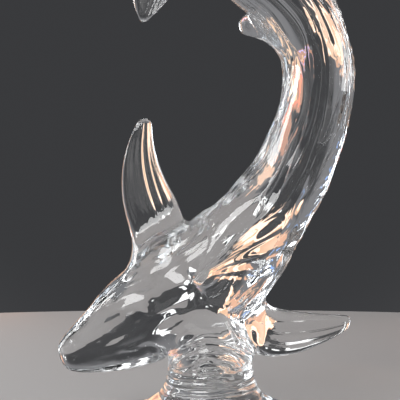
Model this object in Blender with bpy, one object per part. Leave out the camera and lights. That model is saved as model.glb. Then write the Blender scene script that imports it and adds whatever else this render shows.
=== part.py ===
"""Solid clear crystal shark on a round foot, worked hot as one piece.

Lengths are in millimetres and angles in degrees until the mesh is scaled to metres at the end.
X runs to the right along the body, Y runs from the back of the shark to its belly, Z is up.
The origin is the centre of the underside of the foot.
"""

import math

import bmesh
import bpy
from mathutils import Matrix, Vector

MM = 0.001

# Body
NOSE_X = -97.5
NOSE_Z = 44.0
BODY_SIDES = 8
# Smoothing draws an eight-sided ring in, so the rings are made larger by this share.
BODY_SWELL = 1.09
# Each row is one ring of the body, from the nose to the fork of the tail.
# Step along the spine, heading above +X, half width in the plane of the curl, half depth along Y.
BODY_RINGS = (
    (3.0, 21.0, 8.0, 5.5),
    (10.0, 21.5, 14.0, 8.5),
    (15.0, 25.5, 20.0, 12.5),
    (20.0, 31.0, 26.5, 16.0),
    (11.5, 31.5, 30.0, 18.0),
    (14.0, 30.5, 31.0, 20.0),
    (15.0, 31.0, 34.0, 22.0),
    (15.5, 35.5, 34.0, 23.0),
    (8.0, 39.5, 33.5, 23.5),
    (8.0, 43.5, 32.5, 23.5),
    (29.5, 51.0, 28.0, 23.0),
    (24.0, 57.0, 25.5, 22.5),
    (23.0, 63.5, 24.0, 21.5),
    (25.0, 71.5, 23.0, 21.0),
    (24.5, 83.0, 22.0, 20.5),
    (18.5, 97.5, 21.5, 20.0),
    (17.5, 113.5, 22.0, 19.0),
    (13.5, 126.0, 22.5, 18.5),
    (13.0, 137.0, 22.5, 17.5),
    (13.0, 146.5, 21.5, 16.0),
    (18.0, 155.5, 19.5, 14.5),
    (17.0, 166.0, 15.5, 12.0),
    (16.0, 176.0, 12.0, 9.5),
    (10.0, 182.0, 10.5, 7.0),
    (9.5, 184.0, 10.0, 5.0),
    (7.5, 184.0, 8.5, 3.8),
    (4.0, 184.0, 6.0, 3.0),
)

# Sectors of a ring, counted round the body: 0 is the upper or inner side, 2 the belly, 4 the
# lower or outer side and 6 the back.
INNER_SECTOR = 0
OUTER_SECTOR = 4
BACK_SECTOR = 6
STEM_SECTORS = (3, 4, 5)

# Where each fin and the stem leave the body: the first and the last ring of their root.
STEM_SPAN = (4, 7)
UPPER_FIN_SPAN = (5, 9)
LOWER_FIN_SPAN = (7, 9)
BACK_FIN_SPAN = (7, 11)
INNER_SMALL_FIN_SPAN = (16, 19)
OUTER_SMALL_FIN_SPAN = (17, 19)
TAIL_LOBE_SPAN = (22, 26)

# Stem and foot
STEM_X = 0.0
STEM_RADIUS = 27.0
STEM_WAIST = 26.5
FOOT_RADIUS = 63.0
FOOT_HEIGHT = 7.5
FOOT_ROUNDING = 3.0
STEM_SWELL = 1.047
STEM_CORE = 0.42
# The stem reaches this much higher in front and behind than on its sides.
STEM_SHOULDER = 11.0
# Each row is one ring of the stem from the body down: height, radius.
STEM_RINGS = (
    (48.0, STEM_RADIUS),
    (45.0, STEM_RADIUS),
    (40.0, STEM_WAIST),
    (33.0, STEM_RADIUS),
    (26.5, 29.5),
    (21.0, 34.0),
    (16.0, 43.0),
)
# The foot below them: the slope down to its rim, the rim and the flat underside.
FOOT_RINGS = (
    (FOOT_HEIGHT + 4.0, FOOT_RADIUS - 7.0),
    (FOOT_HEIGHT, FOOT_RADIUS),
    (FOOT_ROUNDING - 0.5, FOOT_RADIUS),
    (0.0, FOOT_RADIUS - FOOT_ROUNDING),
    (0.0, FOOT_RADIUS - 10.0),
)

SMOOTH_LEVELS = 2
# Share of the smoothed triangles that the solid keeps.
KEPT_TRIANGLES = 0.52

GLASS_COLOUR = (0.93, 0.95, 0.95, 1.0)
GLASS_ROUGHNESS = 0.02
GLASS_IOR = 1.54


class Fin:
    """A flat fin drawn out of the body.

    root is the middle of its root, reach the span from there to the tip, angle the direction
    of the span above +X, bow how far its middle line bends to the left of the span, chords the
    chord at the root, in the middle and at the tip, turns the direction of the chord at the
    root and at the tip, halves the half thickness at the root and at the tip, edge the share
    of it left at the two edges, lean how far along Y the tip stands from the root.
    """

    def __init__(self, root, reach, angle, bow, chords, turns, halves, edge, lean, steps):
        self.root = Vector(root)
        self.reach = reach
        self.angle = math.radians(angle)
        self.bow = bow
        self.chords = chords
        self.turns = turns
        self.halves = halves
        self.edge = edge
        self.lean = lean
        self.steps = steps

    def place(self, along, across, side):
        """The corner at a share of the span and of the chord, on the near or the far face."""
        out = Vector((math.cos(self.angle), 0.0, math.sin(self.angle)))
        left = Vector((-out.z, 0.0, out.x))
        bend = 4.0 * along * (1.0 - along)
        middle = self.root + out * self.reach * along + left * self.bow * bend
        middle.y += self.lean * along
        near, half, far = self.chords
        chord = near * (1.0 - along) * (1.0 - 2.0 * along)
        chord += half * bend
        chord += far * along * (2.0 * along - 1.0)
        turn = math.radians(self.turns[0] + (self.turns[1] - self.turns[0]) * along)
        forward = Vector((math.cos(turn), 0.0, math.sin(turn)))
        thick = self.halves[0] + (self.halves[1] - self.halves[0]) * along
        hump = 1.0 - (1.0 - self.edge) * (2.0 * across - 1.0) ** 2
        spot = middle + forward * chord * (across - 0.5)
        spot.y += side * thick * hump
        return spot


UPPER_FIN = Fin(
    root=(-27.0, 6.0, 120.8),
    reach=76.5,
    angle=101.2,
    bow=9.3,
    chords=(39.5, 28.0, 7.5),
    turns=(40.0, 20.0),
    halves=(6.0, 2.6),
    edge=0.35,
    lean=6.0,
    steps=(0.14, 0.36, 0.6, 0.83, 1.0),
)
LOWER_FIN = Fin(
    root=(30.0, 7.0, 60.0),
    reach=60.0,
    angle=5.5,
    bow=-3.0,
    chords=(36.0, 25.5, 8.0),
    turns=(80.0, 70.0),
    halves=(6.0, 2.6),
    edge=0.35,
    lean=6.0,
    steps=(0.16, 0.38, 0.62, 0.84, 1.0),
)
INNER_SMALL_FIN = Fin(
    root=(31.5, 0.0, 252.5),
    reach=13.5,
    angle=176.0,
    bow=0.0,
    chords=(26.0, 15.0, 7.0),
    turns=(135.0, 100.0),
    halves=(4.5, 2.6),
    edge=0.5,
    lean=0.0,
    steps=(0.35, 1.0),
)
OUTER_SMALL_FIN = Fin(
    root=(61.5, 0.0, 285.0),
    reach=14.5,
    angle=89.0,
    bow=0.0,
    chords=(28.0, 17.0, 7.0),
    turns=(134.0, 169.0),
    halves=(4.5, 2.6),
    edge=0.5,
    lean=0.0,
    steps=(0.35, 1.0),
)
LOWER_LOBE = Fin(
    root=(-31.0, 0.0, 286.5),
    reach=34.0,
    angle=252.5,
    bow=0.0,
    chords=(33.0, 24.5, 6.5),
    turns=(184.0, 180.0),
    halves=(4.5, 2.4),
    edge=0.45,
    lean=0.0,
    steps=(0.22, 0.52, 0.8, 1.0),
)
UPPER_LOBE = Fin(
    root=(-31.0, 0.0, 305.0),
    reach=38.0,
    angle=112.0,
    bow=0.0,
    chords=(33.0, 23.5, 6.5),
    turns=(184.0, 188.0),
    halves=(4.5, 2.4),
    edge=0.45,
    lean=0.0,
    steps=(0.22, 0.52, 0.8, 1.0),
)

# Fin on the back. It stands out along -Y over the front of its root and slopes back to the
# spine in a long crest.
BACK_FIN_TIP = (-8.3, -44.0, 103.0)
BACK_FIN_TIP_CHORD = 7.0
BACK_FIN_HALVES = (6.5, 2.6)
BACK_FIN_EDGE = 0.45
BACK_FIN_STEPS = (0.22, 0.6, 1.0)


def clear_scene():
    for other in list(bpy.data.objects):
        bpy.data.objects.remove(other, do_unlink=True)


def spine_places():
    """The centre and the heading of every ring of the body."""
    places = []
    centre = Vector((NOSE_X, 0.0, NOSE_Z))
    before = BODY_RINGS[0][1]
    for step, heading, half_width, half_depth in BODY_RINGS:
        middle = math.radians((before + heading) / 2.0)
        centre = centre + Vector((math.cos(middle), 0.0, math.sin(middle))) * step
        places.append((centre.copy(), math.radians(heading)))
        before = heading
    return places


def add_ring(bm, number, centre, heading, half_width, half_depth):
    """One ring of the body, square to the spine, with its number and its sectors kept."""
    rings = bm.verts.layers.int["ring"]
    sectors = bm.verts.layers.int["sector"]
    made = bmesh.ops.create_circle(bm, cap_ends=False, segments=BODY_SIDES, radius=1.0)
    corners = made["verts"]
    half_turn = math.pi / BODY_SIDES
    bmesh.ops.rotate(bm, matrix=Matrix.Rotation(half_turn, 3, "Z"), verts=corners)
    for corner in corners:
        share = math.atan2(corner.co.y, corner.co.x) / (2.0 * math.pi)
        corner[rings] = number
        corner[sectors] = round(share * BODY_SIDES - 0.5) % BODY_SIDES
    outward = Vector((-math.sin(heading), 0.0, math.cos(heading)))
    onward = Vector((math.cos(heading), 0.0, math.sin(heading)))
    turn = Matrix((outward, Vector((0.0, 1.0, 0.0)), onward)).transposed().to_4x4()
    grow = Matrix.Diagonal((half_width * BODY_SWELL, half_depth * BODY_SWELL, 1.0, 1.0))
    bmesh.ops.transform(bm, matrix=Matrix.Translation(centre) @ turn @ grow, verts=corners)
    return [edge for edge in bm.edges if edge.verts[0] in corners and edge.verts[1] in corners]


def loft_body(bm):
    """Rings along the spine bridged into a closed tube."""
    places = spine_places()
    loops = []
    for number, ring in enumerate(BODY_RINGS):
        centre, heading = places[number]
        loops.append(add_ring(bm, number, centre, heading, ring[2], ring[3]))
    for first, second in zip(loops, loops[1:]):
        bmesh.ops.bridge_loops(bm, edges=first + second)
    bmesh.ops.contextual_create(bm, geom=loops[0])
    bmesh.ops.contextual_create(bm, geom=loops[-1])
    bmesh.ops.recalc_face_normals(bm, faces=bm.faces[:])


def body_faces(bm, span, wanted):
    """The side faces of the body from one ring to another, in the given sectors."""
    rings = bm.verts.layers.int["ring"]
    sectors = bm.verts.layers.int["sector"]
    depths = bm.verts.layers.int["depth"]
    found = []
    for face in bm.faces:
        numbers = {corner[rings] for corner in face.verts}
        if len(numbers) != 2 or min(numbers) < span[0] or max(numbers) > span[1]:
            continue
        if any(corner[depths] for corner in face.verts):
            continue
        places = {corner[sectors] for corner in face.verts}
        if any(places == {(sector - 1) % BODY_SIDES, sector} for sector in wanted):
            found.append(face)
    return found


def stem_wall(bm, ring, sector):
    """The upper face of the stem's wall below one ring and sector of the body.

    Its lower corners are numbered as the ring before, so that a root can run on over it.
    """
    rings = bm.verts.layers.int["ring"]
    sectors = bm.verts.layers.int["sector"]
    depths = bm.verts.layers.int["depth"]
    for face in bm.faces:
        places = {corner[sectors] for corner in face.verts}
        numbers = {corner[rings] for corner in face.verts}
        if places == {sector - 1, sector} and numbers == {ring}:
            if {corner[depths] for corner in face.verts} == {0, 1}:
                for corner in face.verts:
                    corner[rings] = ring - corner[depths]
                return face
    raise ValueError("no wall of the stem meets this ring of the body")


def draw_out(bm, faces, place):
    """One step of an extrusion: the new corners go where place(ring, sector) says."""
    rings = bm.verts.layers.int["ring"]
    sectors = bm.verts.layers.int["sector"]
    depths = bm.verts.layers.int["depth"]
    made = bmesh.ops.extrude_face_region(bm, geom=faces)["geom"]
    bmesh.ops.delete(bm, geom=faces, context="FACES")
    for corner in made:
        if isinstance(corner, bmesh.types.BMVert):
            corner.co = place(corner[rings], corner[sectors])
            corner[depths] += 1
    return [face for face in made if isinstance(face, bmesh.types.BMFace)]


def draw_fin(bm, fin, faces, first, last, far_sector):
    """A flat fin in the plane of the curl, drawn out of its root faces in steps."""
    for along in fin.steps:

        def place(ring, sector, along=along):
            across = (ring - first) / (last - first)
            return fin.place(along, across, 1.0 if sector == far_sector else -1.0)

        faces = draw_out(bm, faces, place)


def draw_side_fin(bm, fin, span, sector):
    """A fin whose root is one sector of the body."""
    far_sector = sector if sector == INNER_SECTOR else sector - 1
    draw_fin(bm, fin, body_faces(bm, span, (sector,)), span[0], span[1], far_sector)


def draw_lower_fin(bm):
    """The fin whose root runs from the lower side of the body on to the stem."""
    first, last = LOWER_FIN_SPAN
    faces = body_faces(bm, LOWER_FIN_SPAN, (OUTER_SECTOR,))
    faces.append(stem_wall(bm, first, OUTER_SECTOR))
    draw_fin(bm, LOWER_FIN, faces, first - 1, last, OUTER_SECTOR - 1)


def draw_back_fin(bm):
    """The fin on the back: every line of its root runs to its tip."""
    faces = body_faces(bm, BACK_FIN_SPAN, (BACK_SECTOR,))
    places = spine_places()
    first, last = BACK_FIN_SPAN
    tip = Vector(BACK_FIN_TIP)
    for along in BACK_FIN_STEPS:

        def place(ring, sector, along=along):
            centre, heading = places[ring]
            onward = Vector((math.cos(heading), 0.0, math.sin(heading)))
            outward = Vector((-onward.z, 0.0, onward.x))
            across = (ring - first) / (last - first)
            root = centre + Vector((0.0, -BODY_RINGS[ring][3], 0.0))
            end = tip + onward * BACK_FIN_TIP_CHORD * (across - 0.5)
            near, far = BACK_FIN_HALVES
            half = near + (far - near) * along
            hump = 1.0 - (1.0 - BACK_FIN_EDGE) * (2.0 * across - 1.0) ** 2
            side = 1.0 if sector == BACK_SECTOR else -1.0
            return root.lerp(end, along) + outward * side * half * hump

        faces = draw_out(bm, faces, place)


def draw_stem(bm):
    """The stem and the foot, drawn down from the lower side of the body."""
    faces = body_faces(bm, STEM_SPAN, STEM_SECTORS)
    first, last = STEM_SPAN
    rows = last - first
    columns = len(STEM_SECTORS)
    rim = [(row, 0) for row in range(rows)]
    rim += [(rows, column) for column in range(columns)]
    rim += [(row, columns) for row in range(rows, 0, -1)]
    rim += [(0, column) for column in range(columns, 0, -1)]
    waist = STEM_RINGS[2][0]
    for height, radius in STEM_RINGS + FOOT_RINGS:
        rise = STEM_SHOULDER * max(0.0, height - waist) / (STEM_RINGS[0][0] - waist)

        def place(ring, sector, height=height, radius=radius, rise=rise):
            row = ring - first
            column = sector - STEM_SECTORS[0] + 1
            if (row, column) in rim:
                number = rim.index((row, column))
                reach = radius * STEM_SWELL
                turn = math.radians(135.0) - 2.0 * math.pi * number / len(rim)
                rise *= math.sin(turn) ** 2
            else:
                reach = radius * STEM_CORE
                side = 45.0 if row > 1 else 135.0
                turn = math.radians(side if column == 1 else -side)
            across = reach * math.cos(turn)
            return Vector((STEM_X + across, reach * math.sin(turn), height + rise))

        faces = draw_out(bm, faces, place)


def shark_mesh():
    bm = bmesh.new()
    bm.verts.layers.int.new("ring")
    bm.verts.layers.int.new("sector")
    bm.verts.layers.int.new("depth")
    loft_body(bm)
    draw_stem(bm)
    draw_lower_fin(bm)
    draw_side_fin(bm, UPPER_FIN, UPPER_FIN_SPAN, INNER_SECTOR)
    draw_side_fin(bm, INNER_SMALL_FIN, INNER_SMALL_FIN_SPAN, INNER_SECTOR)
    draw_side_fin(bm, OUTER_SMALL_FIN, OUTER_SMALL_FIN_SPAN, OUTER_SECTOR)
    draw_side_fin(bm, LOWER_LOBE, TAIL_LOBE_SPAN, INNER_SECTOR)
    draw_side_fin(bm, UPPER_LOBE, TAIL_LOBE_SPAN, OUTER_SECTOR)
    draw_back_fin(bm)
    bmesh.ops.recalc_face_normals(bm, faces=bm.faces[:])
    bmesh.ops.scale(bm, vec=(MM, MM, MM), verts=bm.verts[:])
    mesh = bpy.data.meshes.new("crystal_shark")
    bm.to_mesh(mesh)
    bm.free()
    return mesh


def glass_material():
    material = bpy.data.materials.new("clear_crystal")
    material.use_nodes = True
    shader = material.node_tree.nodes["Principled BSDF"]
    shader.inputs["Base Color"].default_value = GLASS_COLOUR
    shader.inputs["Roughness"].default_value = GLASS_ROUGHNESS
    shader.inputs["Metallic"].default_value = 0.0
    shader.inputs["IOR"].default_value = GLASS_IOR
    shader.inputs["Transmission Weight"].default_value = 1.0
    return material


def build():
    clear_scene()
    mesh = shark_mesh()
    shark = bpy.data.objects.new("crystal_shark", mesh)
    bpy.context.scene.collection.objects.link(shark)
    mesh.materials.append(glass_material())
    mesh.polygons.foreach_set("use_smooth", [True] * len(mesh.polygons))
    smooth = shark.modifiers.new("Smooth", "SUBSURF")
    smooth.levels = SMOOTH_LEVELS
    smooth.render_levels = SMOOTH_LEVELS
    thin = shark.modifiers.new("Thin", "DECIMATE")
    thin.ratio = KEPT_TRIANGLES


build()
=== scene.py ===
"""Clear crystal shark on a round foot, with a small studio around it.

The shape is given in millimetres and degrees and scaled to metres at the end of its making.
X runs to the right along the body, Y runs from the back of the shark to its belly, Z is up,
and the origin is the centre of the underside of the foot.
"""

import math

import bmesh
import bpy
import numpy as np
from bpy.props import FloatProperty, FloatVectorProperty, IntProperty, PointerProperty
from mathutils import Matrix, Vector, noise


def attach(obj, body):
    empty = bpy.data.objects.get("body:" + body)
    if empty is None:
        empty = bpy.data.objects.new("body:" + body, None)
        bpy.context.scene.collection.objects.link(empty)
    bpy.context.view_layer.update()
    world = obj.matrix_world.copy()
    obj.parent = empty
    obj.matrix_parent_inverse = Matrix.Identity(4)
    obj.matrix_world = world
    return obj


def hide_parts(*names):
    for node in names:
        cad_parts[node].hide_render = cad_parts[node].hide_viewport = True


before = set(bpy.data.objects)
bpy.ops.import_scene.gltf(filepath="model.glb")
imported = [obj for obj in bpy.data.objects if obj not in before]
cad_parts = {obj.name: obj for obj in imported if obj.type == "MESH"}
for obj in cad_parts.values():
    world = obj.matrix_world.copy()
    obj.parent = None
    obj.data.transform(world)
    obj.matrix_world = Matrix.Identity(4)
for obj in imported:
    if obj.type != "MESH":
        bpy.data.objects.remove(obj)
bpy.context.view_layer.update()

bl_info = {
    "name": "Crystal Shark Sculpture",
    "version": (1, 0, 0),
    "blender": (4, 5, 0),
    "location": "3D View > Sidebar > Crystal Shark",
    "description": "Makes a clear crystal shark on its foot and a plain studio for it",
    "category": "Object",
}

MM = 0.001
MOST_TRIANGLES = 190000

# Body
NOSE_X = -97.5
NOSE_Z = 44.0
BODY_SIDES = 8
# Smoothing draws an eight-sided ring in, so the rings are made larger by this share.
BODY_SWELL = 1.09
# The layer of the drawn lines keeps the distance from the nose in this many millimetres.
DRAWN_UNIT = 100.0
# Each row is one ring of the body, from the nose to the fork of the tail.
# Step along the spine, heading above +X, half width in the plane of the curl, half depth along Y.
BODY_RINGS = (
    (3.0, 21.0, 8.0, 5.5),
    (10.0, 21.5, 14.0, 8.5),
    (15.0, 25.5, 20.0, 12.5),
    (20.0, 31.0, 26.5, 16.0),
    (11.5, 31.5, 30.0, 18.0),
    (14.0, 30.5, 31.0, 20.0),
    (15.0, 31.0, 34.0, 22.0),
    (15.5, 35.5, 34.0, 23.0),
    (8.0, 39.5, 33.5, 23.5),
    (8.0, 43.5, 32.5, 23.5),
    (29.5, 51.0, 28.0, 23.0),
    (24.0, 57.0, 25.5, 22.5),
    (23.0, 63.5, 24.0, 21.5),
    (25.0, 71.5, 23.0, 21.0),
    (24.5, 83.0, 22.0, 20.5),
    (18.5, 97.5, 21.5, 20.0),
    (17.5, 113.5, 22.0, 19.0),
    (13.5, 126.0, 22.5, 18.5),
    (13.0, 137.0, 22.5, 17.5),
    (13.0, 146.5, 21.5, 16.0),
    (18.0, 155.5, 19.5, 14.5),
    (17.0, 166.0, 15.5, 12.0),
    (16.0, 176.0, 12.0, 9.5),
    (10.0, 182.0, 10.5, 7.0),
    (9.5, 184.0, 10.0, 5.0),
    (7.5, 184.0, 8.5, 3.8),
    (4.0, 184.0, 6.0, 3.0),
)

# Sectors of a ring, counted round the body: 0 is the upper or inner side, 2 the belly, 4 the
# lower or outer side and 6 the back.
INNER_SECTOR = 0
OUTER_SECTOR = 4
BACK_SECTOR = 6
STEM_SECTORS = (3, 4, 5)

# Where each fin and the stem leave the body: the first and the last ring of their root.
STEM_SPAN = (4, 7)
UPPER_FIN_SPAN = (5, 9)
LOWER_FIN_SPAN = (7, 9)
BACK_FIN_SPAN = (7, 11)
INNER_SMALL_FIN_SPAN = (16, 19)
OUTER_SMALL_FIN_SPAN = (17, 19)
TAIL_LOBE_SPAN = (22, 26)

# Stem and foot, each row one ring from the body down: height, radius.
STEM_X = 0.0
STEM_SWELL = 1.047
STEM_CORE = 0.42
# The stem reaches this much higher in front and behind than on its sides.
STEM_SHOULDER = 11.0
STEM_RINGS = (
    (48.0, 27.0),
    (45.0, 27.0),
    (40.0, 26.5),
    (33.0, 27.0),
    (26.5, 29.5),
    (21.0, 34.0),
    (16.0, 43.0),
    (11.5, 56.0),
    (7.5, 63.0),
    (2.5, 63.0),
    (0.0, 60.0),
    (0.0, 53.0),
)

# Blades of the fins. The two corners of a tip stand back from its middle by its rounding, and
# the power says how close to the tip that begins.
TIP_ROUNDING = 4.0
TIP_POWER = 6
# The higher this power, the further a blade keeps its full thickness towards its rims.
RIM_POWER = 4
# The lines inside a blade move out to its rims by this power, fully so from this share of the span.
LINE_POWER = 0.3
LINES_SPREAD_BY = 0.4
# Ribs come in over this share of the span from the root and go out over the other one at the tip.
RIBS_IN = 0.3
RIBS_OUT = 0.25


class Fin:
    """A flat fin drawn out of the body.

    root is the middle of its root, reach the span from there to the tip, angle the direction
    of the span above +X, bow how far its middle line bends to the left of the span, chords the
    chord at the root, in the middle and at the tip, turns the direction of the chord at the
    root and at the tip, halves the half thickness at the root and at the tip, edge the share
    of it left at the two edges, lean how far along Y the tip stands from the root, ribbed
    how deep its ribs are next to those of the large fins.
    """

    def __init__(self, root, reach, angle, bow, chords, turns, halves, edge, lean, steps, ribbed):
        self.root = Vector(root)
        self.reach = reach
        self.angle = math.radians(angle)
        self.bow = bow
        self.chords = chords
        self.turns = turns
        self.halves = halves
        self.edge = edge
        self.lean = lean
        self.steps = steps
        self.ribbed = ribbed

    def place(self, along, across, side):
        """The corner at a share of the span and of the chord, on the near or the far face."""
        out = Vector((math.cos(self.angle), 0.0, math.sin(self.angle)))
        left = Vector((-out.z, 0.0, out.x))
        bend = 4.0 * along * (1.0 - along)
        middle = self.root + out * self.reach * along + left * self.bow * bend
        middle.y += self.lean * along
        near, half, far = self.chords
        chord = near * (1.0 - along) * (1.0 - 2.0 * along)
        chord += half * bend
        chord += far * along * (2.0 * along - 1.0)
        turn = math.radians(self.turns[0] + (self.turns[1] - self.turns[0]) * along)
        forward = Vector((math.cos(turn), 0.0, math.sin(turn)))
        thick = self.halves[0] + (self.halves[1] - self.halves[0]) * along
        off_middle = 2.0 * across - 1.0
        hump = 1.0 - (1.0 - self.edge) * off_middle**RIM_POWER
        spread = math.copysign(abs(off_middle) ** LINE_POWER, off_middle)
        share = off_middle + (spread - off_middle) * min(1.0, along / LINES_SPREAD_BY)
        spot = middle + forward * chord * share / 2.0
        spot -= out * TIP_ROUNDING * off_middle**2 * along**TIP_POWER
        spot.y += side * thick * hump
        return spot


UPPER_FIN = Fin(
    root=(-27.0, 6.0, 120.8),
    reach=76.5,
    angle=101.2,
    bow=9.3,
    chords=(39.5, 28.0, 10.0),
    turns=(40.0, 8.0),
    halves=(4.2, 2.4),
    edge=0.8,
    lean=6.0,
    steps=(0.14, 0.36, 0.6, 0.83, 1.0),
    ribbed=1.0,
)
LOWER_FIN = Fin(
    root=(30.0, 7.0, 60.0),
    reach=60.0,
    angle=5.5,
    bow=-3.0,
    chords=(36.0, 25.5, 10.0),
    turns=(80.0, 84.0),
    halves=(4.2, 2.4),
    edge=0.8,
    lean=6.0,
    steps=(0.16, 0.38, 0.62, 0.84, 1.0),
    ribbed=0.35,
)
INNER_SMALL_FIN = Fin(
    root=(31.5, 0.0, 252.5),
    reach=15.0,
    angle=184.0,
    bow=0.0,
    chords=(26.0, 17.0, 10.5),
    turns=(135.0, 100.0),
    halves=(4.5, 2.6),
    edge=0.5,
    lean=0.0,
    steps=(0.35, 1.0),
    ribbed=0.0,
)
OUTER_SMALL_FIN = Fin(
    root=(61.5, 0.0, 285.0),
    reach=14.5,
    angle=89.0,
    bow=0.0,
    chords=(28.0, 17.0, 7.0),
    turns=(134.0, 169.0),
    halves=(4.5, 2.6),
    edge=0.5,
    lean=0.0,
    steps=(0.35, 1.0),
    ribbed=0.0,
)
LOWER_LOBE = Fin(
    root=(-31.0, 0.0, 286.5),
    reach=34.0,
    angle=252.5,
    bow=0.0,
    chords=(33.0, 24.5, 6.5),
    turns=(184.0, 180.0),
    halves=(4.5, 2.4),
    edge=0.45,
    lean=0.0,
    steps=(0.22, 0.52, 0.8, 1.0),
    ribbed=0.4,
)
UPPER_LOBE = Fin(
    root=(-31.0, 0.0, 305.0),
    reach=38.0,
    angle=112.0,
    bow=0.0,
    chords=(33.0, 23.5, 6.5),
    turns=(184.0, 188.0),
    halves=(4.5, 2.4),
    edge=0.45,
    lean=0.0,
    steps=(0.22, 0.52, 0.8, 1.0),
    ribbed=0.4,
)

# Fin on the back. It stands out along -Y over the front of its root and slopes back to the
# spine in a long crest.
BACK_FIN_TIP = (-8.3, -44.0, 103.0)
BACK_FIN_TIP_CHORD = 7.0
BACK_FIN_HALVES = (6.5, 2.6)
BACK_FIN_EDGE = 0.45
BACK_FIN_STEPS = (0.22, 0.6, 1.0)


# Marks of the hot work. The distances of a pair, IN or OUT, are where a mark begins to come in
# or go out and where it has done so. They run along the body from the nose, unless said.
SWELLS_IN = (20.0, 60.0)
WANDER_LENGTH = 55.0
WIDE_LINE_LENGTH = 210.0
FINE_LINE_LENGTH = 170.0
FINE_LINE_DENSITY = 2.1
FINE_LINE_SHARE = 0.25
CREASE_LENGTH = 180.0
CREASE_DENSITY = 1.1
CREASE_POWER = 4
LINES_IN_ON_HEAD = (15.0, 45.0)
LINES_IN_ON_BODY = (95.0, 170.0)
LINES_OUT = (330.0, 380.0)
LINES_LEFT_ON_TAIL = 0.4
FOLD_LENGTH = 38.0
FOLD_DENSITY = 1.7
CURL_LENGTH = 20.0
CURL_DENSITY = 3.2
CURL_SHARE = 0.6
FOLDS_IN = (15.0, 60.0)
FOLDS_OUT = (130.0, 190.0)
CREST_IN = (140.0, 185.0)
CREST_OUT = (300.0, 370.0)
# Half width of the crest, and how far to its sides the grooves lie, in degrees round the body.
CREST_TURN = 6.0
GROOVE_TURN = 15.0
GROOVE_SHARE = 0.45
# Reliefs that would repeat each other in the noise are taken from places this far apart.
CREASE_PLACE = 9.0
FOLD_PLACE = 4.0
RIB_PLACE = 3.0

# Folds where the lower fin leaves the body, by the distance from a point above its root.
ROOT_FOLD_LIFT = 5.0
ROOT_FOLDS_OUT = (10.0, 22.0)
ROOT_FOLD_DENSITY = (0.16, 0.1, 0.07)
ROOT_FOLD_SHARE = 0.5

# Ribs along the fins.
RIB_LENGTH = 300.0
RIB_WIDTH = 2.0
RIB_POWER = 3
RIM_CLEAR_POWER = 6

# Ribs that fan out of the back fin's tip: by the distance from it, and by the turn above +X.
FAN_LENGTH = 120.0
FAN_IN = (8.0, 20.0)
FAN_OUT = (80.0, 150.0)
FAN_TURN_IN = (-15.0, 5.0)
FAN_TURN_OUT = (75.0, 92.0)
# How much a face has to look to the front, along -Y, to carry the fan.
FAN_FACING = (0.1, 0.5)

# Swells, ripples and arches of the stem, by the height above the floor and, for the arches, by
# the distance from their centre.
STEM_SWELL_LENGTH = 13.0
STEM_SWELL_SHARE = 0.5
STEM_SWELLS_IN = (12.0, 20.0)
RIPPLE_SPACING = 4.6
RIPPLE_WANDER = 3.0
RIPPLE_SHARE = 0.3
RIPPLES_IN = (14.0, 22.0)
RIPPLES_OUT = (40.0, 48.0)
ARCH_CENTRE = 34.0
ARCH_FLATNESS = 1.2
ARCH_SPACING = 7.5
ARCH_WANDER = 2.0
ARCH_DENSITY = 1.5
ARCH_SHARE = 0.5
ARCHES_IN = (36.0, 44.0)
ARCHES_FROM = (4.0, 10.0)
ARCHES_OUT = (28.0, 38.0)

# Striae and haze of the crystal: how close the striae lie round and along the body and across
# the fins, how fine they are, and the noise between which values the haze comes in.
STRIAE_DENSITY = (5.0, 5.0, 1.1)
FIN_STRIAE_DENSITY = 14.0
STRIAE_DETAIL = 3.0
HAZE_DENSITY = 45.0
HAZE_FROM = (0.45, 0.8)


def spine_places():
    """The centre, the heading and the distance from the nose of every ring of the body."""
    places = []
    centre = Vector((NOSE_X, 0.0, NOSE_Z))
    before = BODY_RINGS[0][1]
    run = 0.0
    for step, heading, half_width, half_depth in BODY_RINGS:
        middle = math.radians((before + heading) / 2.0)
        centre = centre + Vector((math.cos(middle), 0.0, math.sin(middle))) * step
        run += step
        places.append((centre.copy(), math.radians(heading), run))
        before = heading
    return places


def add_ring(bm, number, centre, heading, run, half_width, half_depth):
    """One ring of the body, square to the spine, with its number and its sectors kept."""
    rings = bm.verts.layers.int["ring"]
    sectors = bm.verts.layers.int["sector"]
    drawn = bm.verts.layers.float_vector["drawn"]
    made = bmesh.ops.create_circle(bm, cap_ends=False, segments=BODY_SIDES, radius=1.0)
    corners = made["verts"]
    half_turn = math.pi / BODY_SIDES
    bmesh.ops.rotate(bm, matrix=Matrix.Rotation(half_turn, 3, "Z"), verts=corners)
    for corner in corners:
        share = math.atan2(corner.co.y, corner.co.x) / (2.0 * math.pi)
        corner[rings] = number
        corner[sectors] = round(share * BODY_SIDES - 0.5) % BODY_SIDES
        corner[drawn] = (corner.co.x, corner.co.y, run / DRAWN_UNIT)
    outward = Vector((-math.sin(heading), 0.0, math.cos(heading)))
    onward = Vector((math.cos(heading), 0.0, math.sin(heading)))
    turn = Matrix((outward, Vector((0.0, 1.0, 0.0)), onward)).transposed().to_4x4()
    grow = Matrix.Diagonal((half_width * BODY_SWELL, half_depth * BODY_SWELL, 1.0, 1.0))
    bmesh.ops.transform(bm, matrix=Matrix.Translation(centre) @ turn @ grow, verts=corners)
    return [edge for edge in bm.edges if edge.verts[0] in corners and edge.verts[1] in corners]


def loft_body(bm):
    """Rings along the spine bridged into a closed tube."""
    places = spine_places()
    loops = []
    for number, ring in enumerate(BODY_RINGS):
        centre, heading, run = places[number]
        loops.append(add_ring(bm, number, centre, heading, run, ring[2], ring[3]))
    for first, second in zip(loops, loops[1:]):
        bmesh.ops.bridge_loops(bm, edges=first + second)
    bmesh.ops.contextual_create(bm, geom=loops[0])
    bmesh.ops.contextual_create(bm, geom=loops[-1])
    bmesh.ops.recalc_face_normals(bm, faces=bm.faces[:])


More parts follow.
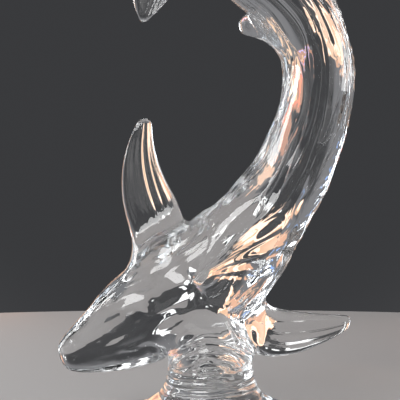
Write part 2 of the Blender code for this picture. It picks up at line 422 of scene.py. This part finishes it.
def body_faces(bm, span, wanted):
    """The side faces of the body from one ring to another, in the given sectors."""
    rings = bm.verts.layers.int["ring"]
    sectors = bm.verts.layers.int["sector"]
    depths = bm.verts.layers.int["depth"]
    found = []
    for face in bm.faces:
        numbers = {corner[rings] for corner in face.verts}
        if len(numbers) != 2 or min(numbers) < span[0] or max(numbers) > span[1]:
            continue
        if any(corner[depths] for corner in face.verts):
            continue
        places = {corner[sectors] for corner in face.verts}
        if any(places == {(sector - 1) % BODY_SIDES, sector} for sector in wanted):
            found.append(face)
    return found


def stem_wall(bm, ring, sector):
    """The upper face of the stem's wall below one ring and sector of the body.

    Its lower corners are numbered as the ring before, so that a root can run on over it.
    """
    rings = bm.verts.layers.int["ring"]
    sectors = bm.verts.layers.int["sector"]
    depths = bm.verts.layers.int["depth"]
    for face in bm.faces:
        places = {corner[sectors] for corner in face.verts}
        numbers = {corner[rings] for corner in face.verts}
        if places == {sector - 1, sector} and numbers == {ring}:
            if {corner[depths] for corner in face.verts} == {0, 1}:
                for corner in face.verts:
                    corner[rings] = ring - corner[depths]
                return face
    raise ValueError("no wall of the stem meets this ring of the body")


def draw_out(bm, faces, place, kind):
    """One step of an extrusion: the new corners go where place(ring, sector) says.

    kind names the layer that marks what is drawn out: a fin or the stem.
    """
    rings = bm.verts.layers.int["ring"]
    sectors = bm.verts.layers.int["sector"]
    depths = bm.verts.layers.int["depth"]
    marks = bm.verts.layers.float[kind]
    made = bmesh.ops.extrude_face_region(bm, geom=faces)["geom"]
    bmesh.ops.delete(bm, geom=faces, context="FACES")
    for corner in made:
        if isinstance(corner, bmesh.types.BMVert):
            corner.co = place(corner[rings], corner[sectors])
            corner[depths] += 1
            corner[marks] = 1.0
    return [face for face in made if isinstance(face, bmesh.types.BMFace)]


def draw_fin(bm, fin, faces, first, last, far_sector):
    """A flat fin in the plane of the curl, drawn out of its root faces in steps."""
    rings = bm.verts.layers.int["ring"]
    ribs = bm.verts.layers.float["rib"]
    ribbed = bm.verts.layers.float["ribbed"]
    for corner in {corner for face in faces for corner in face.verts}:
        corner[ribs] = (corner[rings] - first) / (last - first)
    for along in fin.steps:

        def place(ring, sector, along=along):
            across = (ring - first) / (last - first)
            return fin.place(along, across, 1.0 if sector == far_sector else -1.0)

        faces = draw_out(bm, faces, place, "fin")
        for corner in {corner for face in faces for corner in face.verts}:
            at_root = min(1.0, along / RIBS_IN)
            at_tip = min(1.0, (1.0 - along) / RIBS_OUT)
            corner[ribbed] = fin.ribbed * at_tip * at_root


def draw_side_fin(bm, fin, span, sector):
    """A fin whose root is one sector of the body."""
    far_sector = sector if sector == INNER_SECTOR else sector - 1
    draw_fin(bm, fin, body_faces(bm, span, (sector,)), span[0], span[1], far_sector)


def draw_lower_fin(bm):
    """The fin whose root runs from the lower side of the body on to the stem."""
    first, last = LOWER_FIN_SPAN
    faces = body_faces(bm, LOWER_FIN_SPAN, (OUTER_SECTOR,))
    faces.append(stem_wall(bm, first, OUTER_SECTOR))
    draw_fin(bm, LOWER_FIN, faces, first - 1, last, OUTER_SECTOR - 1)


def draw_back_fin(bm):
    """The fin on the back: every line of its root runs to its tip."""
    faces = body_faces(bm, BACK_FIN_SPAN, (BACK_SECTOR,))
    places = spine_places()
    first, last = BACK_FIN_SPAN
    tip = Vector(BACK_FIN_TIP)
    for along in BACK_FIN_STEPS:

        def place(ring, sector, along=along):
            centre, heading, run = places[ring]
            onward = Vector((math.cos(heading), 0.0, math.sin(heading)))
            outward = Vector((-onward.z, 0.0, onward.x))
            across = (ring - first) / (last - first)
            root = centre + Vector((0.0, -BODY_RINGS[ring][3], 0.0))
            end = tip + onward * BACK_FIN_TIP_CHORD * (across - 0.5)
            near, far = BACK_FIN_HALVES
            half = near + (far - near) * along
            hump = 1.0 - (1.0 - BACK_FIN_EDGE) * (2.0 * across - 1.0) ** 2
            side = 1.0 if sector == BACK_SECTOR else -1.0
            return root.lerp(end, along) + outward * side * half * hump

        faces = draw_out(bm, faces, place, "blade")


def draw_stem(bm):
    """The stem and the foot, drawn down from the lower side of the body."""
    faces = body_faces(bm, STEM_SPAN, STEM_SECTORS)
    first, last = STEM_SPAN
    rows = last - first
    columns = len(STEM_SECTORS)
    rim = [(row, 0) for row in range(rows)]
    rim += [(rows, column) for column in range(columns)]
    rim += [(row, columns) for row in range(rows, 0, -1)]
    rim += [(0, column) for column in range(columns, 0, -1)]
    waist = STEM_RINGS[2][0]
    for height, radius in STEM_RINGS:
        rise = STEM_SHOULDER * max(0.0, height - waist) / (STEM_RINGS[0][0] - waist)

        def place(ring, sector, height=height, radius=radius, rise=rise):
            row = ring - first
            column = sector - STEM_SECTORS[0] + 1
            if (row, column) in rim:
                number = rim.index((row, column))
                reach = radius * STEM_SWELL
                turn = math.radians(135.0) - 2.0 * math.pi * number / len(rim)
                rise *= math.sin(turn) ** 2
            else:
                reach = radius * STEM_CORE
                side = 45.0 if row > 1 else 135.0
                turn = math.radians(side if column == 1 else -side)
            across = reach * math.cos(turn)
            return Vector((STEM_X + across, reach * math.sin(turn), height + rise))

        faces = draw_out(bm, faces, place, "stem")


def settle_order(bm):
    """Puts the edges and faces in the order of their corners.

    Drawing out leaves them in another order on every run, and the rounding off follows it.
    """

    def order(element):
        numbers = sorted(corner.index for corner in element.verts)
        return sum(number * len(bm.verts) ** place for place, number in enumerate(numbers[:4]))

    bm.verts.index_update()
    bm.edges.sort(key=order)
    bm.faces.sort(key=order)


def shark_cage():
    """The coarse closed cage of the whole figure, in millimetres."""
    bm = bmesh.new()
    for name in ("ring", "sector", "depth"):
        bm.verts.layers.int.new(name)
    for name in ("fin", "blade", "stem", "rib", "ribbed"):
        bm.verts.layers.float.new(name)
    bm.verts.layers.float_vector.new("drawn")
    loft_body(bm)
    draw_stem(bm)
    draw_lower_fin(bm)
    draw_side_fin(bm, UPPER_FIN, UPPER_FIN_SPAN, INNER_SECTOR)
    draw_side_fin(bm, INNER_SMALL_FIN, INNER_SMALL_FIN_SPAN, INNER_SECTOR)
    draw_side_fin(bm, OUTER_SMALL_FIN, OUTER_SMALL_FIN_SPAN, OUTER_SECTOR)
    draw_side_fin(bm, LOWER_LOBE, TAIL_LOBE_SPAN, INNER_SECTOR)
    draw_side_fin(bm, UPPER_LOBE, TAIL_LOBE_SPAN, OUTER_SECTOR)
    draw_back_fin(bm)
    bmesh.ops.recalc_face_normals(bm, faces=bm.faces[:])
    settle_order(bm)
    mesh = bpy.data.meshes.new("crystal_shark_cage")
    bm.to_mesh(mesh)
    bm.free()
    # The direction of an edge differs from run to run too, so each starts at its first corner.
    for edge in mesh.edges:
        edge.vertices = sorted(edge.vertices)
    return mesh


def applied(mesh, kind, **settings):
    """The mesh with one modifier applied, as a new mesh."""
    holder = bpy.data.objects.new("holder", mesh)
    bpy.context.scene.collection.objects.link(holder)
    modifier = holder.modifiers.new(kind.title(), kind)
    for name, value in settings.items():
        setattr(modifier, name, value)
    graph = bpy.context.evaluated_depsgraph_get()
    made = bpy.data.meshes.new_from_object(holder.evaluated_get(graph))
    bpy.data.objects.remove(holder)
    bpy.data.meshes.remove(mesh)
    return made


def corner_rows(corners, field):
    """A field of three numbers of each corner, one row for each."""
    values = np.empty(len(corners) * 3, np.float32)
    corners.foreach_get(field, values)
    return values.reshape(-1, 3)


def vertex_values(mesh, name, width=1):
    """The values of one layer of the mesh, one row for each corner."""
    values = np.empty(len(mesh.vertices) * width, np.float32)
    field = "vector" if width == 3 else "value"
    mesh.attributes[name].data.foreach_get(field, values)
    return values.reshape(-1, width) if width > 1 else values


def ramp(values, low, high):
    """A smooth step from 0 at low to 1 at high."""
    share = np.clip((values - low) / (high - low), 0.0, 1.0)
    return share * share * (3.0 - 2.0 * share)


def waves(points):
    """Smooth noise between -1 and 1 at each point."""
    return np.array([noise.noise(Vector(point)) for point in points])


class Surface:
    """The smoothed figure as arrays, one row for each corner, and where each corner lies on it."""

    def __init__(self, mesh, shape):
        self.places = corner_rows(mesh.vertices, "co")
        self.normals = corner_rows(mesh.vertex_normals, "vector")
        self.fin = vertex_values(mesh, "fin")
        self.stem = vertex_values(mesh, "stem")
        self.rib = vertex_values(mesh, "rib")
        self.ribbed = vertex_values(mesh, "ribbed")
        drawn = vertex_values(mesh, "drawn", 3)
        self.body = (1.0 - self.fin) * (1.0 - self.stem) * (1.0 - vertex_values(mesh, "blade"))
        self.run = drawn[:, 2] * DRAWN_UNIT
        self.turn = np.arctan2(drawn[:, 0], -drawn[:, 1])
        wander = np.column_stack([self.run / WANDER_LENGTH, np.sin(self.turn), np.cos(self.turn)])
        drift = self.turn + math.radians(shape.line_wander) * waves(wander)
        self.around = np.column_stack([np.cos(drift), np.sin(drift)])

    def along_body(self, density, length, place=0.0, finer=1.0):
        """Noise drawn out along the body, with a density round it and a length along it."""
        around = self.around * density * finer
        return waves(np.column_stack([around, self.run / length + place]))

    def line_mask(self):
        """How strongly the drawn lines show: less on the head, and least on the tail."""
        mask = 0.5 * ramp(self.run, *LINES_IN_ON_HEAD) + 0.5 * ramp(self.run, *LINES_IN_ON_BODY)
        faded = 1.0 - (1.0 - LINES_LEFT_ON_TAIL) * ramp(self.run, *LINES_OUT)
        return mask * (faded * self.body)


def body_swells(made, shape):
    """Slow swells of the body."""
    swell = waves(made.places / shape.swell_length)
    return shape.swell_depth * swell * made.body * ramp(made.run, *SWELLS_IN)


def stem_swells(made, shape):
    """Shorter and lower swells of the stem."""
    swell = STEM_SWELL_SHARE * shape.swell_depth * waves(made.places / STEM_SWELL_LENGTH)
    return swell * made.stem * ramp(made.places[:, 2], *STEM_SWELLS_IN)


def drawn_lines(made, shape):
    """Soft lines along the body, with finer ones over them."""
    wide = made.along_body(shape.line_count, WIDE_LINE_LENGTH)
    fine = made.along_body(shape.line_count, FINE_LINE_LENGTH, finer=FINE_LINE_DENSITY)
    return shape.line_depth * (wide + FINE_LINE_SHARE * fine) * made.line_mask()


def creases(made, shape):
    """A few sharp creases along the body."""
    lines = made.along_body(shape.line_count, CREASE_LENGTH, CREASE_PLACE, CREASE_DENSITY)
    crease = np.maximum(1.0 - 2.0 * abs(lines), 0.0) ** CREASE_POWER
    return shape.crease_depth * crease * made.line_mask()


def head_folds(made, shape):
    """Folds and curls between the head and the back fin."""
    fold = 1.0 - 2.0 * abs(made.along_body(FOLD_DENSITY, FOLD_LENGTH, FOLD_PLACE))
    curl = made.along_body(CURL_DENSITY, CURL_LENGTH)
    mask = ramp(made.run, *FOLDS_IN) * (1.0 - ramp(made.run, *FOLDS_OUT)) * made.body
    return shape.fold_depth * (fold + CURL_SHARE * curl) * mask


def root_folds(made, shape):
    """Folds where the lower fin leaves the body."""
    root = LOWER_FIN.root
    gap = np.hypot(made.places[:, 0] - root.x, made.places[:, 2] - root.z - ROOT_FOLD_LIFT)
    mask = (1.0 - ramp(gap, *ROOT_FOLDS_OUT)) * (1.0 - made.stem)
    return ROOT_FOLD_SHARE * shape.fold_depth * waves(made.places * ROOT_FOLD_DENSITY) * mask


def back_crest(made, shape):
    """A crest down the back with a groove on either side."""
    off_crest = np.degrees(made.turn)
    crest = np.exp(-((off_crest / CREST_TURN) ** 2))
    crest -= GROOVE_SHARE * np.exp(-(((abs(off_crest) - GROOVE_TURN) / CREST_TURN) ** 2))
    mask = ramp(made.run, *CREST_IN) * (1.0 - ramp(made.run, *CREST_OUT))
    return shape.crest_height * crest * mask * made.body


def fin_ribs(made, shape):
    """Thin ribs along the fins, other ones on the front than on the back."""
    face = np.sign(made.places[:, 1]) * RIB_PLACE
    ribs = np.column_stack([made.rib * shape.rib_count, face, made.places[:, 2] / RIB_LENGTH])
    line = (1.0 - np.minimum(1.0, RIB_WIDTH * abs(waves(ribs)))) ** RIB_POWER
    rim_clear = 1.0 - (2.0 * made.rib - 1.0) ** RIM_CLEAR_POWER
    return shape.rib_depth * line * made.ribbed * rim_clear


def back_fin_fan(made, shape):
    """Ribs that fan out of the back fin's tip over the front of the body."""
    from_tip = made.places - np.array(BACK_FIN_TIP)
    reach = np.hypot(from_tip[:, 0], from_tip[:, 2])
    turn = np.degrees(np.arctan2(from_tip[:, 2], from_tip[:, 0]))
    mask = ramp(-made.normals[:, 1], *FAN_FACING) * ramp(reach, *FAN_IN)
    mask *= 1.0 - ramp(reach, *FAN_OUT)
    mask *= ramp(turn, *FAN_TURN_IN) * (1.0 - ramp(turn, *FAN_TURN_OUT)) * (1.0 - made.fin)
    fan = np.column_stack([turn / shape.fan_turn, np.zeros(len(turn)), reach / FAN_LENGTH])
    return shape.fan_depth * waves(fan) * mask


def stem_ripples(made, shape):
    """Level ripples round the stem."""
    height = made.places[:, 2]
    turn = np.arctan2(made.places[:, 1], made.places[:, 0] - STEM_X)
    wander = np.column_stack([height / shape.ripple_length, np.cos(turn), np.sin(turn)])
    mask = ramp(height, *RIPPLES_IN) * (1.0 - ramp(height, *RIPPLES_OUT)) * made.stem
    ripple = np.sin(2.0 * math.pi * height / RIPPLE_SPACING + RIPPLE_WANDER * waves(wander))
    return RIPPLE_SHARE * shape.ripple_depth * ripple * mask


def stem_arches(made, shape):
    """Arched ripples where the stem meets the body."""
    height = made.places[:, 2]
    off_middle = made.places[:, 0] - STEM_X
    reach = np.hypot(off_middle, ARCH_FLATNESS * (height - ARCH_CENTRE))
    turn = np.arctan2(height - ARCH_CENTRE, off_middle)
    face = np.sign(made.places[:, 1])
    wander = np.column_stack([reach / shape.ripple_length, turn * ARCH_DENSITY, face])
    mask = ramp(height, *ARCHES_IN) * ramp(reach, *ARCHES_FROM)
    mask *= (1.0 - ramp(reach, *ARCHES_OUT)) * (1.0 - made.fin)
    arch = np.sin(2.0 * math.pi * reach / ARCH_SPACING + ARCH_WANDER * waves(wander))
    return ARCH_SHARE * shape.ripple_depth * arch * mask


MARKS = (
    body_swells,
    stem_swells,
    drawn_lines,
    creases,
    head_folds,
    root_folds,
    back_crest,
    fin_ribs,
    back_fin_fan,
    stem_ripples,
    stem_arches,
)


def work_surface(mesh, shape):
    """Moves every corner of the mesh along its normal by the marks of the hot work."""
    made = Surface(mesh, shape)
    height = sum(mark(made, shape) for mark in MARKS)
    places = made.places + made.normals * height[:, None]
    mesh.vertices.foreach_set("co", places.astype(np.float32).reshape(-1))
    mesh.update()


def crystal_material(glass):
    """Clear polished crystal with fine striae, a faint haze and a faint tint."""
    material = bpy.data.materials.new("clear_crystal")
    material.use_nodes = True
    nodes = material.node_tree.nodes
    links = material.node_tree.links
    shader = nodes["Principled BSDF"]
    shader.inputs["Base Color"].default_value = (*glass.colour, 1.0)
    shader.inputs["IOR"].default_value = glass.ior
    shader.inputs["Transmission Weight"].default_value = 1.0

    drawn = nodes.new("ShaderNodeAttribute")
    drawn.attribute_name = "drawn"
    rib = nodes.new("ShaderNodeAttribute")
    rib.attribute_name = "rib"
    across = nodes.new("ShaderNodeCombineXYZ")
    place = nodes.new("ShaderNodeVectorMath")
    place.operation = "MULTIPLY_ADD"
    place.inputs[1].default_value = STRIAE_DENSITY
    spread = nodes.new("ShaderNodeMath")
    spread.operation = "MULTIPLY"
    spread.inputs[1].default_value = FIN_STRIAE_DENSITY
    striae = nodes.new("ShaderNodeTexNoise")
    striae.inputs["Scale"].default_value = 1.0
    striae.inputs["Detail"].default_value = STRIAE_DETAIL
    relief = nodes.new("ShaderNodeBump")
    relief.inputs["Strength"].default_value = 1.0
    relief.inputs["Distance"].default_value = glass.striae_depth * MM
    links.new(rib.outputs["Fac"], spread.inputs[0])
    links.new(spread.outputs[0], across.inputs["X"])
    links.new(drawn.outputs["Vector"], place.inputs[0])
    links.new(across.outputs["Vector"], place.inputs[2])
    links.new(place.outputs["Vector"], striae.inputs["Vector"])
    links.new(striae.outputs["Fac"], relief.inputs["Height"])
    links.new(relief.outputs["Normal"], shader.inputs["Normal"])

    spots = nodes.new("ShaderNodeTexCoord")
    cloud = nodes.new("ShaderNodeTexNoise")
    cloud.inputs["Scale"].default_value = HAZE_DENSITY
    haze = nodes.new("ShaderNodeMapRange")
    haze.inputs["From Min"].default_value = HAZE_FROM[0]
    haze.inputs["From Max"].default_value = HAZE_FROM[1]
    haze.inputs["To Max"].default_value = glass.roughness
    links.new(spots.outputs["Object"], cloud.inputs["Vector"])
    links.new(cloud.outputs["Fac"], haze.inputs["Value"])
    links.new(haze.outputs["Result"], shader.inputs["Roughness"])

    depth = nodes.new("ShaderNodeVolumeAbsorption")
    depth.inputs["Color"].default_value = (*glass.depth_colour, 1.0)
    depth.inputs["Density"].default_value = glass.depth_density
    links.new(depth.outputs["Volume"], nodes["Material Output"].inputs["Volume"])
    return material


class CrystalSharkShape(bpy.types.PropertyGroup):
    """Sizes of the sculpture's surface."""

    smoothing: IntProperty(
        name="Smoothing",
        description="Steps of rounding off between the rings of the figure",
        default=4,
        min=1,
        max=4,
    )
    swell_depth: FloatProperty(
        name="Swell Depth",
        description="Height of the slow swells of the body in millimetres",
        default=1.4,
        min=0.0,
        max=3.0,
    )
    swell_length: FloatProperty(
        name="Swell Length",
        description="Length of the slow swells of the body in millimetres",
        default=26.0,
        min=5.0,
        max=100.0,
    )
    line_depth: FloatProperty(
        name="Line Depth",
        description="Depth of the lines drawn along the body in millimetres",
        default=1.1,
        min=0.0,
        max=2.0,
    )
    line_count: FloatProperty(
        name="Line Density",
        description="How close the lines drawn along the body lie",
        default=3.0,
        min=0.5,
        max=12.0,
    )
    crest_height: FloatProperty(
        name="Crest Height",
        description="Height of the crest along the back in millimetres",
        default=1.8,
        min=0.0,
        max=4.0,
    )
    line_wander: FloatProperty(
        name="Line Wander",
        description="How far the lines wander round the body in degrees",
        default=28.0,
        min=0.0,
        max=90.0,
    )
    crease_depth: FloatProperty(
        name="Crease Depth",
        description="Height of the sharp creases along the body in millimetres",
        default=0.7,
        min=0.0,
        max=2.0,
    )
    fold_depth: FloatProperty(
        name="Fold Depth",
        description="Height of the folds between the head and the back fin in millimetres",
        default=1.6,
        min=0.0,
        max=4.0,
    )
    ripple_depth: FloatProperty(
        name="Ripple Depth",
        description="Depth of the ripples round the stem in millimetres",
        default=0.9,
        min=0.0,
        max=2.0,
    )
    ripple_length: FloatProperty(
        name="Ripple Length",
        description="Height of one ripple of the stem in millimetres",
        default=5.0,
        min=1.0,
        max=20.0,
    )
    rib_depth: FloatProperty(
        name="Rib Depth",
        description="Depth of the ribs on the fins in millimetres",
        default=0.4,
        min=0.0,
        max=1.0,
    )
    rib_count: FloatProperty(
        name="Rib Density",
        description="How close the ribs on the fins lie",
        default=7.0,
        min=1.0,
        max=30.0,
    )
    fan_depth: FloatProperty(
        name="Fan Depth",
        description="Depth of the ribs that fan out of the back fin's tip in millimetres",
        default=1.6,
        min=0.0,
        max=2.0,
    )
    fan_turn: FloatProperty(
        name="Fan Spacing",
        description="Angle between the ribs of the fan in degrees",
        default=9.0,
        min=2.0,
        max=45.0,
    )


class CrystalSharkGlass(bpy.types.PropertyGroup):
    """The crystal itself."""

    colour: FloatVectorProperty(
        name="Colour",
        description="Tint of the light that passes the surface",
        subtype="COLOR",
        size=3,
        default=(0.985, 0.99, 0.99),
        min=0.0,
        max=1.0,
    )
    ior: FloatProperty(
        name="Refractive Index",
        description="How strongly the crystal bends light",
        default=1.54,
        min=1.3,
        max=2.0,
    )
    roughness: FloatProperty(
        name="Haze",
        description="Roughness of the polished surface where it is most hazy",
        default=0.012,
        min=0.0,
        max=1.0,
        subtype="FACTOR",
    )
    striae_depth: FloatProperty(
        name="Striae Depth",
        description="Depth of the fine lines in the surface in millimetres",
        default=0.12,
        min=0.0,
        max=2.0,
    )
    depth_colour: FloatVectorProperty(
        name="Depth Colour",
        description="Tint that the crystal takes where it is thick",
        subtype="COLOR",
        size=3,
        default=(0.90, 0.92, 0.93),
        min=0.0,
        max=1.0,
    )
    depth_density: FloatProperty(
        name="Depth Density",
        description="How quickly the crystal takes its tint, per metre",
        default=6.0,
        min=0.0,
        max=100.0,
    )


class CrystalSharkStage(bpy.types.PropertyGroup):
    """Floor, backdrop, lamps and camera."""

    floor_colour: FloatVectorProperty(
        name="Floor",
        description="Colour of the pale floor",
        subtype="COLOR",
        size=3,
        default=(0.31, 0.30, 0.295),
        min=0.0,
        max=1.0,
    )
    backdrop_colour: FloatVectorProperty(
        name="Backdrop",
        description="Colour behind the sculpture",
        subtype="COLOR",
        size=3,
        default=(0.042, 0.043, 0.046),
        min=0.0,
        max=1.0,
    )
    side_colour: FloatVectorProperty(
        name="Sides",
        description="Colour of the studio to the sides and behind the camera",
        subtype="COLOR",
        size=3,
        default=(0.22, 0.22, 0.23),
        min=0.0,
        max=1.0,
    )


class CRYSTAL_SHARK_OT_figure(bpy.types.Operator):
    """Make the crystal shark with its fins, stem and foot as one piece"""

    bl_idname = "crystal_shark.figure"
    bl_label = "Crystal Shark"

    def execute(self, context):
        shape = context.scene.crystal_shark_shape
        levels = shape.smoothing
        mesh = applied(shark_cage(), "SUBSURF", levels=levels, render_levels=levels)
        work_surface(mesh, shape)
        triangles = sum(len(face.vertices) - 2 for face in mesh.polygons)
        if triangles > MOST_TRIANGLES:
            mesh = applied(mesh, "DECIMATE", ratio=MOST_TRIANGLES / triangles)
        mesh.transform(Matrix.Scale(MM, 4))
        mesh.polygons.foreach_set("use_smooth", [True] * len(mesh.polygons))
        mesh.materials.clear()
        mesh.materials.append(crystal_material(context.scene.crystal_shark_glass))
        shark = bpy.data.objects.new("shark_figure", mesh)
        context.scene.collection.objects.link(shark)
        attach(shark, "root")
        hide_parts("crystal_shark")
        return {"FINISHED"}


# Studio, in metres. The lamps face the middle of the sculpture. The large ones light it, and the
# small ones behind it are seen in the glass as its peach, white, red and blue spots.
MIDDLE = (0.0, 0.0, 0.15)
# Name, width and height, place, watts, colour.
LAMPS = (
    ("left_box", (0.25, 0.5), (-0.8, 0.1, 0.35), 4.0, (1.0, 1.0, 1.0)),
    ("right_box", (0.25, 0.5), (0.8, 0.1, 0.35), 2.2, (1.0, 1.0, 1.0)),
    ("top_box", (0.35, 0.35), (0.0, 0.15, 0.75), 1.7, (1.0, 1.0, 1.0)),
    ("front_box", (0.55, 0.4), (-0.5, -0.8, 0.7), 6.0, (1.0, 1.0, 1.0)),
    ("front_wall", (1.0, 0.8), (0.15, -1.5, 0.5), 2.0, (1.0, 0.97, 0.95)),
    ("peach_panel", (0.22, 0.2), (-0.225, 0.8, 0.045), 0.135, (1.0, 0.60, 0.36)),
    ("pale_strip", (0.045, 0.2), (-0.137, 0.78, 0.045), 0.02, (1.0, 0.92, 0.86)),
    ("low_panel", (0.06, 0.07), (0.15, 0.2, 0.06), 0.0105, (1.0, 0.62, 0.4)),
    ("low_white_panel", (0.018, 0.04), (0.062, 0.3, 0.036), 0.003, (1.0, 1.0, 1.0)),
    ("small_white_panel", (0.022, 0.025), (0.025, 0.3, 0.05), 0.0024, (1.0, 1.0, 1.0)),
    ("orange_panel", (0.11, 0.19), (-0.215, 0.405, 0.095), 0.052, (1.0, 0.45, 0.2)),
    ("white_panel", (0.1, 0.19), (-0.3, 0.34, 0.095), 0.06, (1.0, 1.0, 1.0)),
    ("orange_strip", (0.105, 0.2), (0.2475, 0.37, 0.15), 0.032, (1.0, 0.38, 0.16)),
    ("red_strip", (0.02, 0.09), (0.265, 0.355, 0.15), 0.006, (1.0, 0.12, 0.04)),
    ("blue_strip", (0.02, 0.06), (0.22, 0.355, 0.215), 0.004, (0.15, 0.35, 1.0)),
    ("blue_panel", (0.07, 0.05), (-0.25, 0.43, 0.3), 0.011, (0.2, 0.45, 1.0)),
    ("back_left_box", (0.12, 0.5), (-0.62, 0.45, 0.2), 1.2, (0.8, 0.9, 1.0)),
    ("back_right_box", (0.12, 0.5), (0.55, 0.6, 0.3), 0.2, (1.0, 0.6, 0.34)),
)

FLOOR_RADIUS = 1.2
FLOOR_SIDES = 192
FLOOR_ROUGHNESS = 0.9
# The far edge of the floor is the straight line behind the sculpture.
FLOOR_PLACE = (0.0, -0.78, -0.0005)
# The backdrop is palest beyond the first angle from its middle and darkest within the second.
BACKDROP_ANGLES = (26.0, 10.0)

CAMERA_LENS = 130.64
CAMERA_SENSOR = 36.0
CAMERA_TARGET = (-0.0065, 0.0, 0.1451)
CAMERA_LIFT = 6.0
CAMERA_DISTANCE = 0.9


def area_lamp(name, size, place, power, colour):
    """A soft box that faces the middle of the sculpture and isn't seen itself."""
    lamp = bpy.data.lights.new(name, "AREA")
    lamp.shape = "RECTANGLE"
    lamp.size = size[0]
    lamp.size_y = size[1]
    lamp.energy = power
    lamp.color = colour
    holder = bpy.data.objects.new(name, lamp)
    holder.location = place
    towards = Vector(MIDDLE) - Vector(place)
    holder.rotation_euler = towards.to_track_quat("-Z", "Y").to_euler()
    holder.visible_camera = False
    bpy.context.scene.collection.objects.link(holder)


def studio_world(stage):
    """A plain dark backdrop behind the sculpture that turns paler towards the sides."""
    world = bpy.data.worlds.new("studio")
    world.use_nodes = True
    nodes = world.node_tree.nodes
    links = world.node_tree.links
    back = nodes["Background"]
    places = nodes.new("ShaderNodeTexCoord")
    parts = nodes.new("ShaderNodeSeparateXYZ")
    share = nodes.new("ShaderNodeMapRange")
    share.interpolation_type = "SMOOTHSTEP"
    share.inputs["From Min"].default_value = math.cos(math.radians(BACKDROP_ANGLES[0]))
    share.inputs["From Max"].default_value = math.cos(math.radians(BACKDROP_ANGLES[1]))
    mix = nodes.new("ShaderNodeMix")
    mix.data_type = "RGBA"
    mix.inputs[6].default_value = (*stage.side_colour, 1.0)
    mix.inputs[7].default_value = (*stage.backdrop_colour, 1.0)
    links.new(places.outputs["Generated"], parts.inputs[0])
    links.new(parts.outputs["Y"], share.inputs["Value"])
    links.new(share.outputs["Result"], mix.inputs[0])
    links.new(mix.outputs[2], back.inputs["Color"])
    return world


def pale_floor(stage):
    """A round pale floor that carries the sculpture's shadow."""
    bm = bmesh.new()
    bmesh.ops.create_circle(bm, cap_ends=True, segments=FLOOR_SIDES, radius=FLOOR_RADIUS)
    bmesh.ops.translate(bm, vec=FLOOR_PLACE, verts=bm.verts[:])
    mesh = bpy.data.meshes.new("floor")
    bm.to_mesh(mesh)
    bm.free()
    floor = bpy.data.objects.new("floor", mesh)
    bpy.context.scene.collection.objects.link(floor)
    material = bpy.data.materials.new("floor_paper")
    material.use_nodes = True
    shader = material.node_tree.nodes["Principled BSDF"]
    shader.inputs["Base Color"].default_value = (*stage.floor_colour, 1.0)
    shader.inputs["Roughness"].default_value = FLOOR_ROUGHNESS
    mesh.materials.append(material)
    return floor


def photograph_camera():
    """A camera at the photograph's angle."""
    data = bpy.data.cameras.new("camera")
    data.lens = CAMERA_LENS
    data.sensor_width = CAMERA_SENSOR
    camera = bpy.data.objects.new("camera", data)
    target = Vector(CAMERA_TARGET)
    lift = math.radians(CAMERA_LIFT)
    camera.location = target + Vector((0.0, -math.cos(lift), math.sin(lift))) * CAMERA_DISTANCE
    camera.rotation_euler = (target - camera.location).to_track_quat("-Z", "Y").to_euler()
    bpy.context.scene.collection.objects.link(camera)
    return camera


class CRYSTAL_SHARK_OT_stage(bpy.types.Operator):
    """Set up the floor, the backdrop, the lamps and the camera"""

    bl_idname = "crystal_shark.stage"
    bl_label = "Studio"

    def execute(self, context):
        stage = context.scene.crystal_shark_stage
        floor = pale_floor(stage)
        context.scene.world = studio_world(stage)
        for name, size, place, power, colour in LAMPS:
            area_lamp(name, size, place, power, colour)
        context.scene.view_settings.view_transform = "Standard"
        context.scene.camera = photograph_camera()
        return {"FINISHED"}


class CRYSTAL_SHARK_PT_panel(bpy.types.Panel):
    """Lists the sculpture's settings and makes its pieces"""

    bl_label = "Crystal Shark"
    bl_idname = "CRYSTAL_SHARK_PT_panel"
    bl_space_type = "VIEW_3D"
    bl_region_type = "UI"
    bl_category = "Crystal Shark"

    def draw(self, context):
        scene = context.scene
        groups = (scene.crystal_shark_shape, scene.crystal_shark_glass, scene.crystal_shark_stage)
        for group in groups:
            for name in type(group).__annotations__:
                self.layout.prop(group, name)
        self.layout.operator("crystal_shark.figure")
        self.layout.operator("crystal_shark.stage")


CLASSES = (
    CrystalSharkShape,
    CrystalSharkGlass,
    CrystalSharkStage,
    CRYSTAL_SHARK_OT_figure,
    CRYSTAL_SHARK_OT_stage,
    CRYSTAL_SHARK_PT_panel,
)


def register():
    for made in CLASSES:
        bpy.utils.register_class(made)
    bpy.types.Scene.crystal_shark_shape = PointerProperty(type=CrystalSharkShape)
    bpy.types.Scene.crystal_shark_glass = PointerProperty(type=CrystalSharkGlass)
    bpy.types.Scene.crystal_shark_stage = PointerProperty(type=CrystalSharkStage)


def unregister():
    del bpy.types.Scene.crystal_shark_stage
    del bpy.types.Scene.crystal_shark_glass
    del bpy.types.Scene.crystal_shark_shape
    for made in reversed(CLASSES):
        bpy.utils.unregister_class(made)


def main():
    register()
    bpy.ops.crystal_shark.stage()
    bpy.ops.crystal_shark.figure()


if __name__ == "__main__":
    main()
